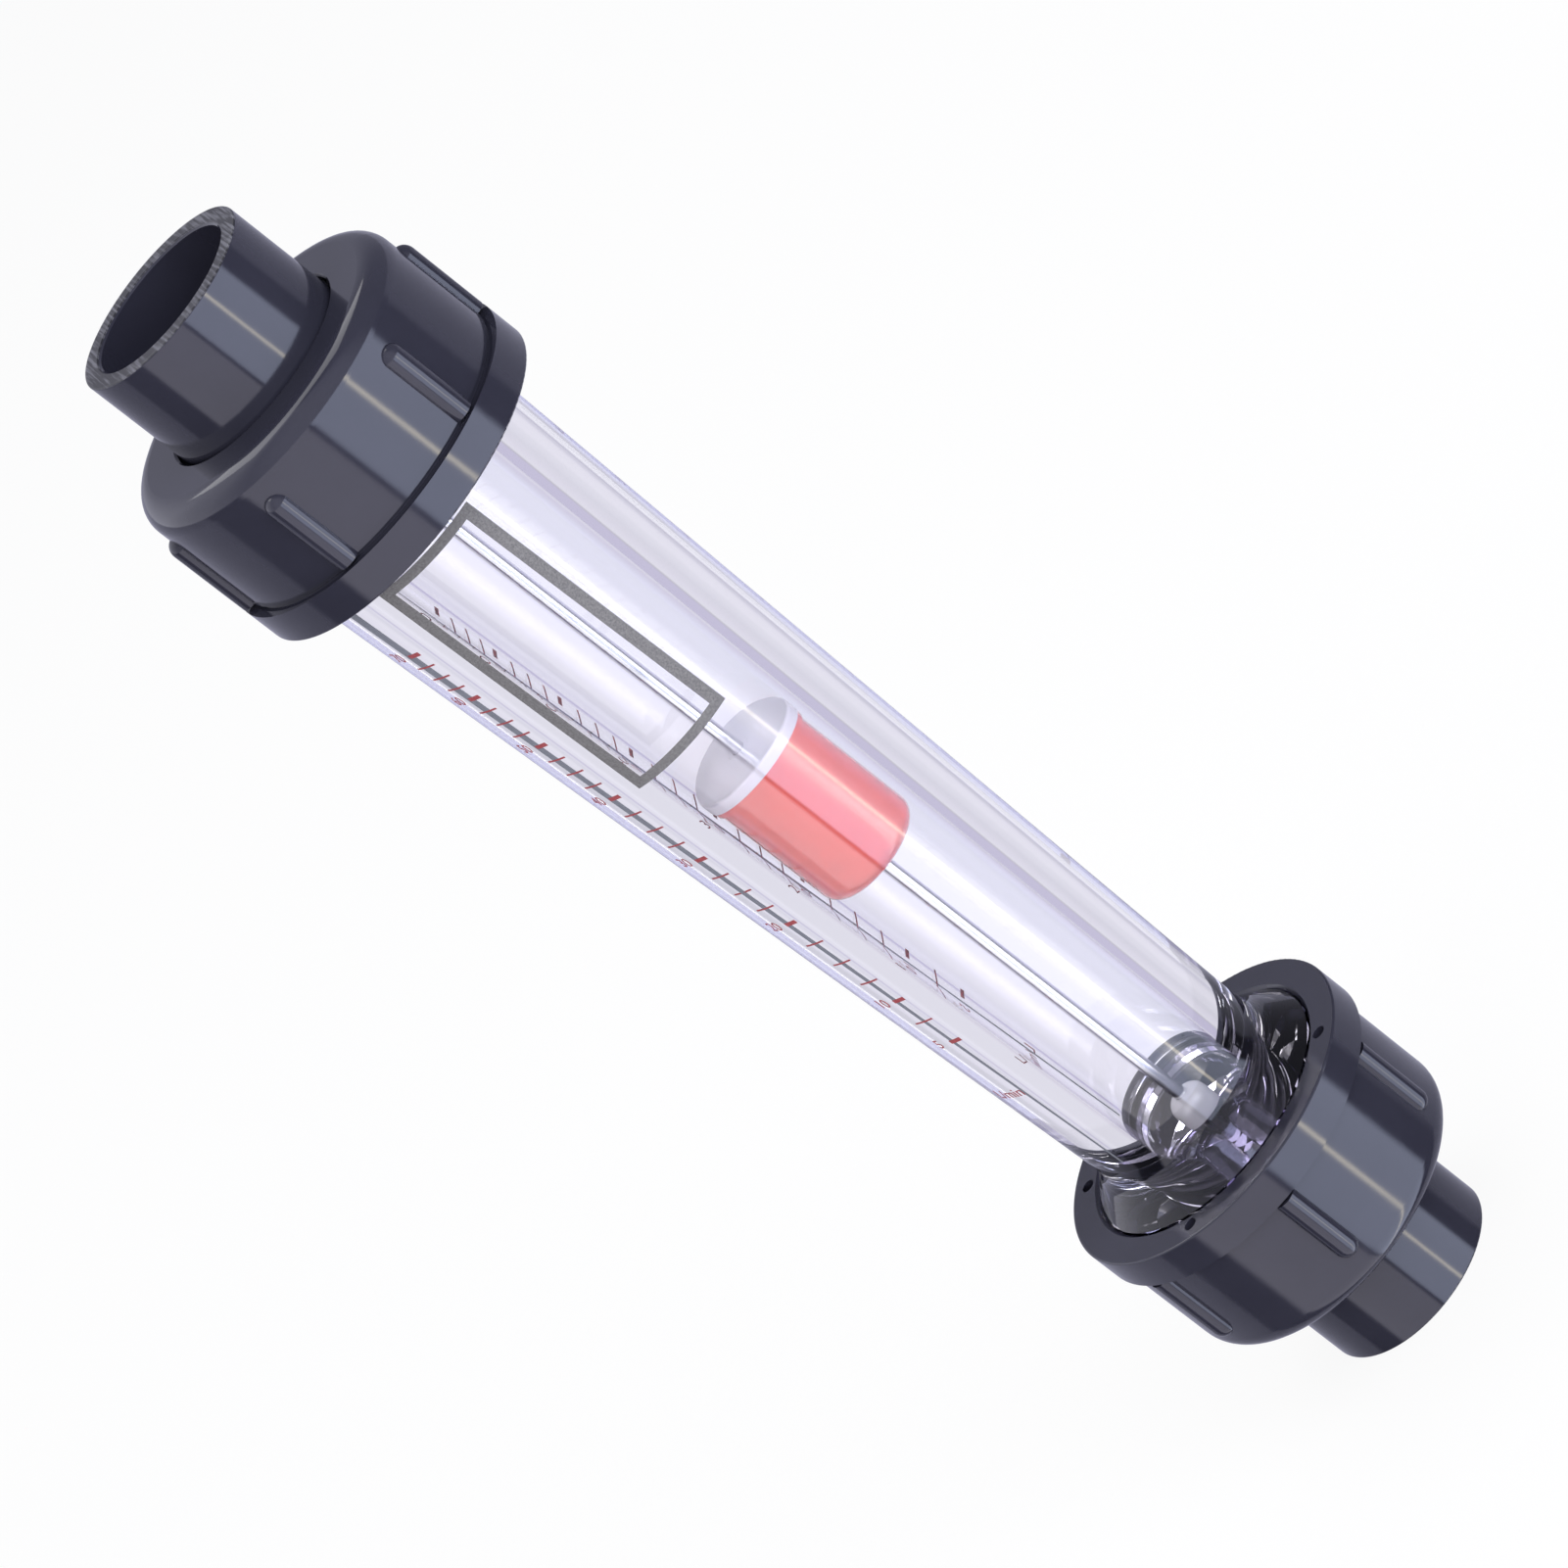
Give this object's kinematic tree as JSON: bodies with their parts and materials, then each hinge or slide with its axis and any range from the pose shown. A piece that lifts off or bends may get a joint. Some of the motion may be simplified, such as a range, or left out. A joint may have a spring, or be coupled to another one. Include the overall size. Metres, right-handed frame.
{
  "type": "water flow meter",
  "caption": "In-line variable-area water flow meter: a red float on a steel guide rod in a clear tapered tube, with a dark grey pipe union at each end.",
  "frame": {"origin": "centre of the inlet tail piece's end face, at the bottom of the meter", "axes": "+Z along the tube's axis, in the direction of flow from inlet to outlet; -Y is the front, the side that the printed panel faces"},
  "size_m": [0.0866, 0.0866, 0.395],
  "materials": {
    "clear_tube": "clear moulded plastic, polished",
    "steel_rod": "drawn stainless rod",
    "white_plastic": "translucent white moulding",
    "seal_rubber": "moulded rubber",
    "red_float": "translucent red moulding",
    "white_float": "translucent white moulding",
    "grey_pvc": "glossy dark grey PVC"
  },
  "bodies": {
    "tube": {"metering_tube": "clear_tube", "guide_rod": "steel_rod", "lower_rod_holder": "clear_tube", "upper_rod_holder": "clear_tube", "lower_float_stop": "white_plastic", "upper_float_stop": "white_plastic", "lower_o_ring": "seal_rubber", "upper_o_ring": "seal_rubber"},
    "float": {"float_cup": "red_float", "float_cap": "white_float", "float_lower_bush": "white_float", "float_upper_bush": "white_float"},
    "lower_tail": {"lower_tail_piece": "grey_pvc"},
    "lower_nut": {"lower_union_nut": "grey_pvc"},
    "upper_tail": {"upper_tail_piece": "grey_pvc"},
    "upper_nut": {"upper_union_nut": "grey_pvc"}
  },
  "joints": [
    {"name": "float_slide", "type": "slide", "parent": "tube", "child": "float", "axis": [0, 0, 1], "range_m": [-0.1, 0.0928]},
    {"name": "upper_tail_slide", "type": "slide", "parent": "tube", "child": "upper_tail", "axis": [0, 0, 1], "range_m": [0, 0.0201]},
    {"name": "upper_nut_turn", "type": "hinge", "parent": "upper_tail", "child": "upper_nut", "pos_m": [0, 0, 0.347], "axis": [0, 0, 1], "range_deg": [0, 1800]},
    {"name": "lower_tail_slide", "type": "slide", "parent": "tube", "child": "lower_tail", "axis": [0, 0, -1], "range_m": [0, 0.0201]},
    {"name": "lower_nut_turn", "type": "hinge", "parent": "lower_tail", "child": "lower_nut", "pos_m": [0, 0, 0.048], "axis": [0, 0, -1], "range_deg": [0, 1800]}
  ],
  "couplings": [
    {"joint": "upper_tail_slide", "follows": "upper_nut_turn", "m_per_rad": 0.00063662},
    {"joint": "lower_tail_slide", "follows": "lower_nut_turn", "m_per_rad": 0.00063662}
  ]
}
